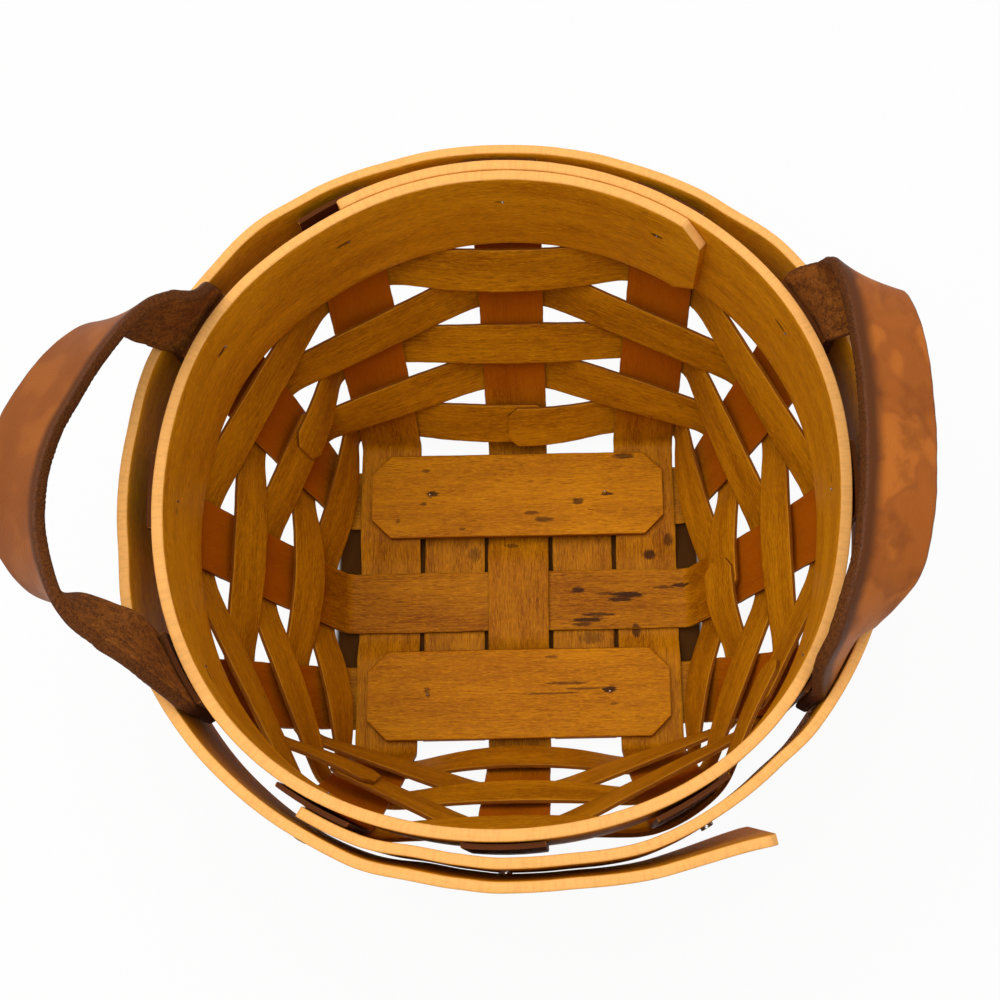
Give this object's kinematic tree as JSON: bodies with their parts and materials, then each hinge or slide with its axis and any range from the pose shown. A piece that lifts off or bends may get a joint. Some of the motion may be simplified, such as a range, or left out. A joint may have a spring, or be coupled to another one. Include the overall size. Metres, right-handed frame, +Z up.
{
  "type": "basket",
  "caption": "Round woven wood-splint basket on a rectangular cleated base, with hoop rim bands and leather ear handles that flex at the rim.",
  "frame": {"origin": "middle of the rectangular base, on the floor that it rests on", "axes": "+Z up out of the open top; +Y towards the back wall, where the inner rim band laps; the handles are at -X and +X"},
  "size_m": [0.2136, 0.1849, 0.1466],
  "materials": {
    "splint_wood": "satin",
    "weaver_wood": "satin",
    "rim_wood": "satin",
    "cleat_wood": "satin",
    "nail_steel": "worn",
    "leather": "waxed"
  },
  "bodies": {
    "basket": {"base_cleat_back": "cleat_wood", "base_cleat_front": "cleat_wood", "base_filler_left": "splint_wood", "base_filler_right": "splint_wood", "cleat_brads": "nail_steel", "inner_rim_band": "rim_wood", "left_handle_bends": "leather", "left_handle_tails": "leather", "outer_rim_band": "rim_wood", "right_handle_bends": "leather", "right_handle_tails": "leather", "rim_tacks": "nail_steel", "stake_splint_back": "splint_wood", "stake_splint_centre": "splint_wood", "stake_splint_front": "splint_wood", "stake_splint_left": "splint_wood", "stake_splint_middle": "splint_wood", "stake_splint_right": "splint_wood", "weaver_row_1": "weaver_wood", "weaver_row_2": "weaver_wood", "weaver_row_3": "weaver_wood", "weaver_row_4": "weaver_wood", "weaver_row_5": "weaver_wood"},
    "left_handle": {"left_handle_loop": "leather"},
    "right_handle": {"right_handle_loop": "leather"}
  },
  "joints": [
    {"name": "left_handle_flex", "type": "hinge", "parent": "basket", "child": "left_handle", "pos_m": [-0.07563, 0.00235, 0.1219], "axis": [0.0059, 1, 0], "range_deg": [-10, 45], "stiffness_Nm_per_rad": 0.08, "springref_deg": 0.86, "deforming": ["left_handle_bends"]},
    {"name": "right_handle_flex", "type": "hinge", "parent": "basket", "child": "right_handle", "pos_m": [0.0775, 0.00274, 0.1219], "axis": [0.0092, 1, 0], "range_deg": [-40, 20], "stiffness_Nm_per_rad": 0.08, "springref_deg": -0.37, "deforming": ["right_handle_bends"]}
  ]
}
